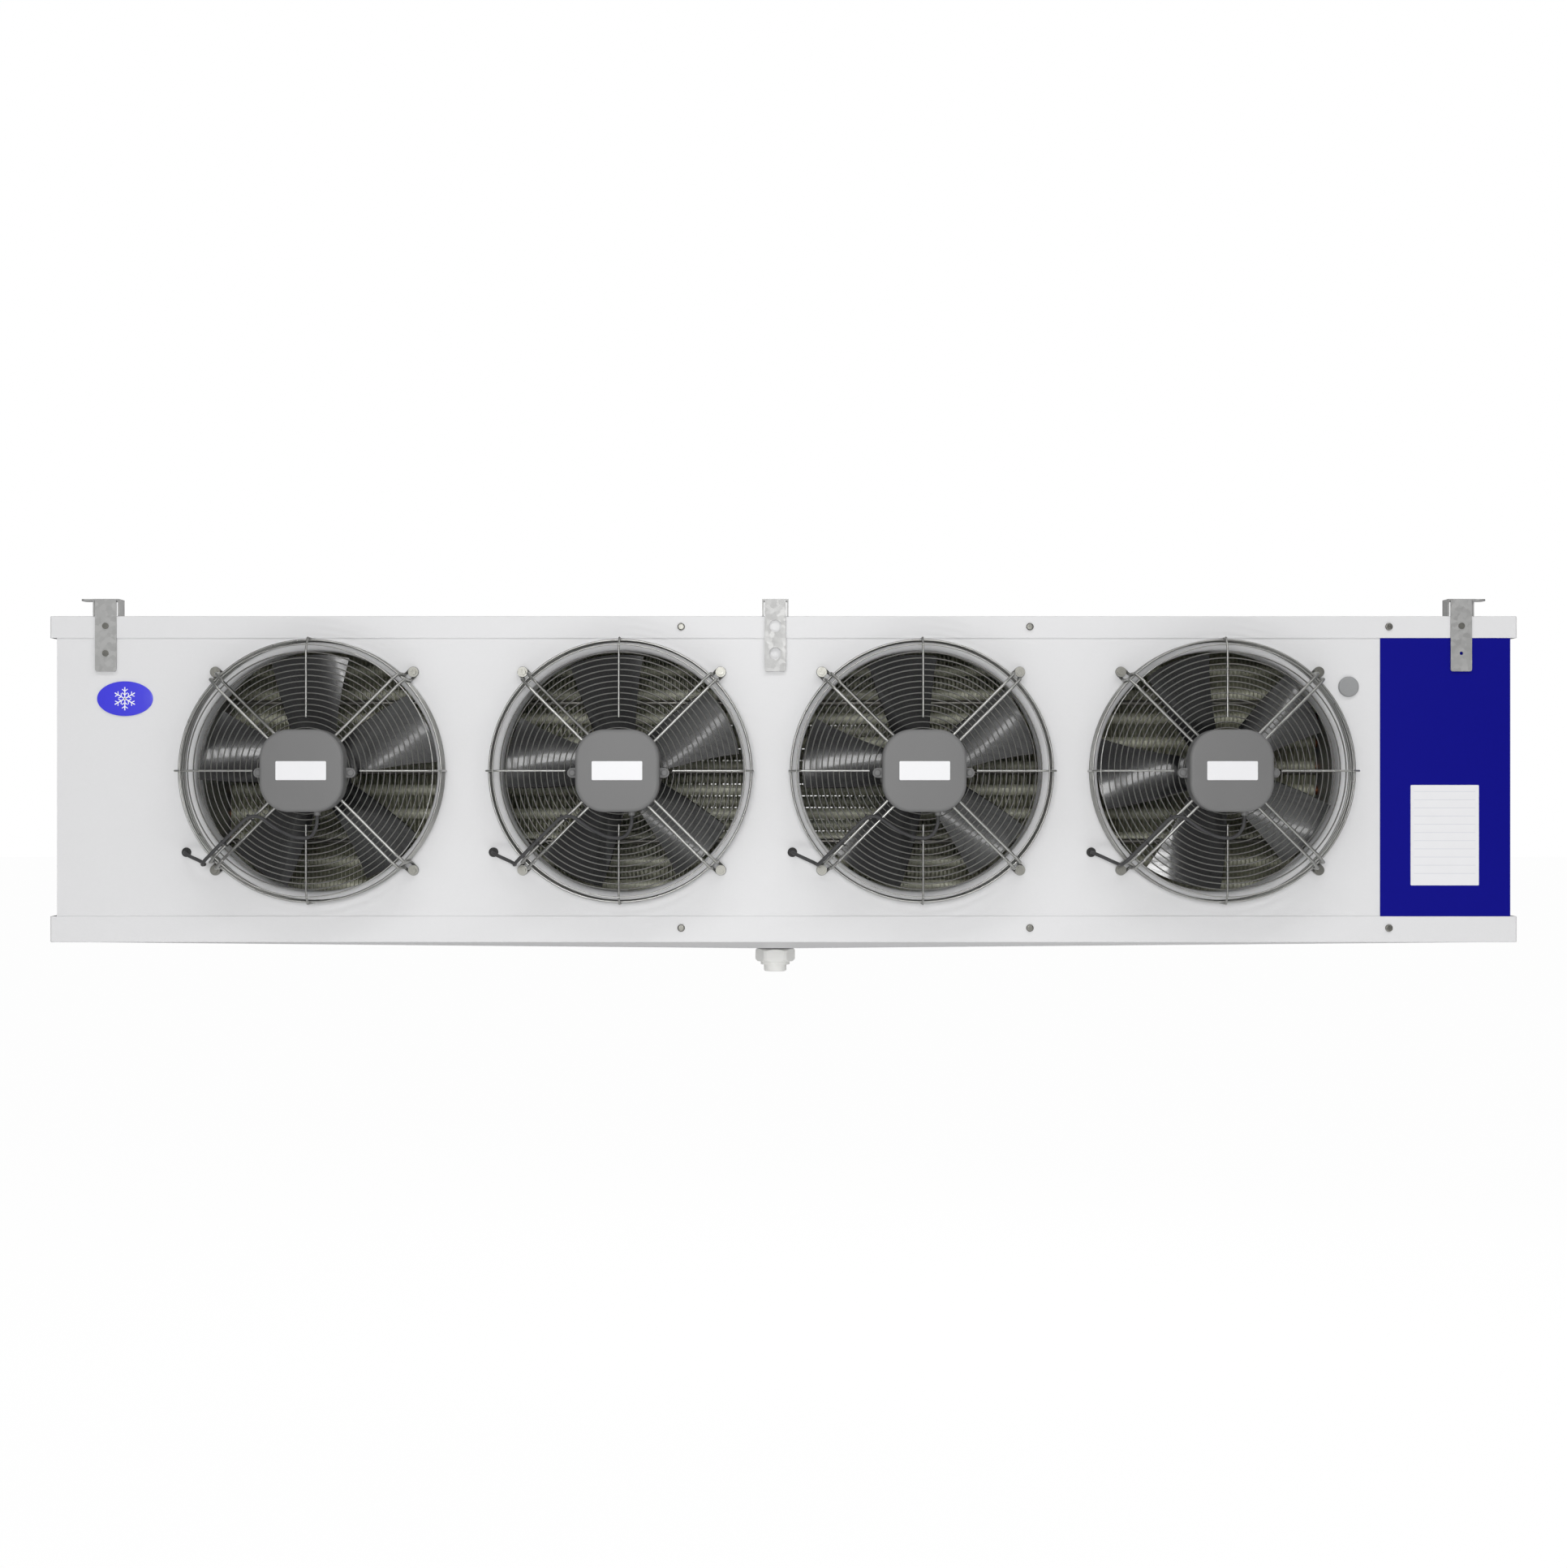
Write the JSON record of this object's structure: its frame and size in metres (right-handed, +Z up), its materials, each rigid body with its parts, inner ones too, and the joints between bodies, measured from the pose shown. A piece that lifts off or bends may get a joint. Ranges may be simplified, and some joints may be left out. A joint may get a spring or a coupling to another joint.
{
  "type": "ceiling unit cooler",
  "caption": "Ceiling-hung cold-room unit cooler: long white casing with axial fans behind wire guards, finned coil, drip tray with central drain and a blue service cover.",
  "frame": {"origin": "centre of the four ceiling bolts of the end hangers, on the hangers' top faces", "axes": "+X to the right as seen from the front, +Y from the fans to the back, +Z up"},
  "size_m": [2.15, 0.5687, 0.563],
  "materials": {
    "white_paint": "semi-gloss polyester powder coat",
    "blue_paint": "semi-gloss powder coat",
    "zinc_plate": "galvanised",
    "guard_wire": "bright zinc plated",
    "screw_steel": "zinc plated",
    "motor_grey": "smooth grey lacquer",
    "motor_iron": "dark lacquer",
    "rotor_black": "black lacquer",
    "blade_black": "gloss black",
    "bearing_steel": "ground",
    "fin_aluminium": "mill finish",
    "copper": "drawn copper",
    "brass": "turned",
    "heater_steel": "drawn stainless",
    "lead_rubber": "matt",
    "grommet_rubber": "matt",
    "drain_plastic": "moulded",
    "box_plastic": "moulded",
    "gland_plastic": "moulded",
    "plug_plastic": "moulded",
    "label_film": "printed film",
    "badge_blue": "domed resin"
  },
  "bodies": {
    "casing": {"front_panel": "white_paint", "top_cover": "white_paint", "drip_tray": "white_paint", "left_end_panel": "white_paint", "right_end_panel": "white_paint", "service_cover": "blue_paint", "bay_partitions": "zinc_plate", "left_tube_sheet": "zinc_plate", "right_tube_sheet": "zinc_plate", "coil_fins": "fin_aluminium", "coil_tubes": "copper", "return_bends": "copper", "suction_header": "copper", "liquid_distributor": "brass", "defrost_heaters": "heater_steel", "front_hanger_left": "zinc_plate", "front_hanger_middle": "zinc_plate", "front_hanger_right": "zinc_plate", "back_hanger_left": "zinc_plate", "back_hanger_middle": "zinc_plate", "back_hanger_right": "zinc_plate", "casing_screws": "screw_steel", "guard_screws": "screw_steel", "drain_socket": "drain_plastic", "drain_nut": "drain_plastic", "drain_gasket": "grommet_rubber", "terminal_box": "box_plastic", "cable_gland": "gland_plastic", "nameplate": "label_film", "badge": "badge_blue", "end_badges": "badge_blue", "blanking_plug": "plug_plastic", "lead_grommets": "grommet_rubber", "motor_labels": "label_film", "motor_bearings": "bearing_steel", "guard_1": "guard_wire", "motor_cap_1": "motor_grey", "stator_1": "motor_iron", "motor_lead_1": "lead_rubber", "guard_2": "guard_wire", "motor_cap_2": "motor_grey", "stator_2": "motor_iron", "motor_lead_2": "lead_rubber", "guard_3": "guard_wire", "motor_cap_3": "motor_grey", "stator_3": "motor_iron", "motor_lead_3": "lead_rubber", "guard_4": "guard_wire", "motor_cap_4": "motor_grey", "stator_4": "motor_iron", "motor_lead_4": "lead_rubber"},
    "fan_1": {"rotor_1": "rotor_black", "impeller_1": "blade_black"},
    "fan_2": {"rotor_2": "rotor_black", "impeller_2": "blade_black"},
    "fan_3": {"rotor_3": "rotor_black", "impeller_3": "blade_black"},
    "fan_4": {"rotor_4": "rotor_black", "impeller_4": "blade_black"}
  },
  "joints": [
    {"name": "fan_1_spin", "type": "hinge", "parent": "casing", "child": "fan_1", "pos_m": [-0.687, -0.215, -0.252], "axis": [0, 1, 0], "continuous": true},
    {"name": "fan_2_spin", "type": "hinge", "parent": "casing", "child": "fan_2", "pos_m": [-0.237, -0.215, -0.252], "axis": [0, 1, 0], "continuous": true},
    {"name": "fan_3_spin", "type": "hinge", "parent": "casing", "child": "fan_3", "pos_m": [0.201, -0.215, -0.252], "axis": [0, 1, 0], "continuous": true},
    {"name": "fan_4_spin", "type": "hinge", "parent": "casing", "child": "fan_4", "pos_m": [0.639, -0.215, -0.252], "axis": [0, 1, 0], "continuous": true}
  ]
}
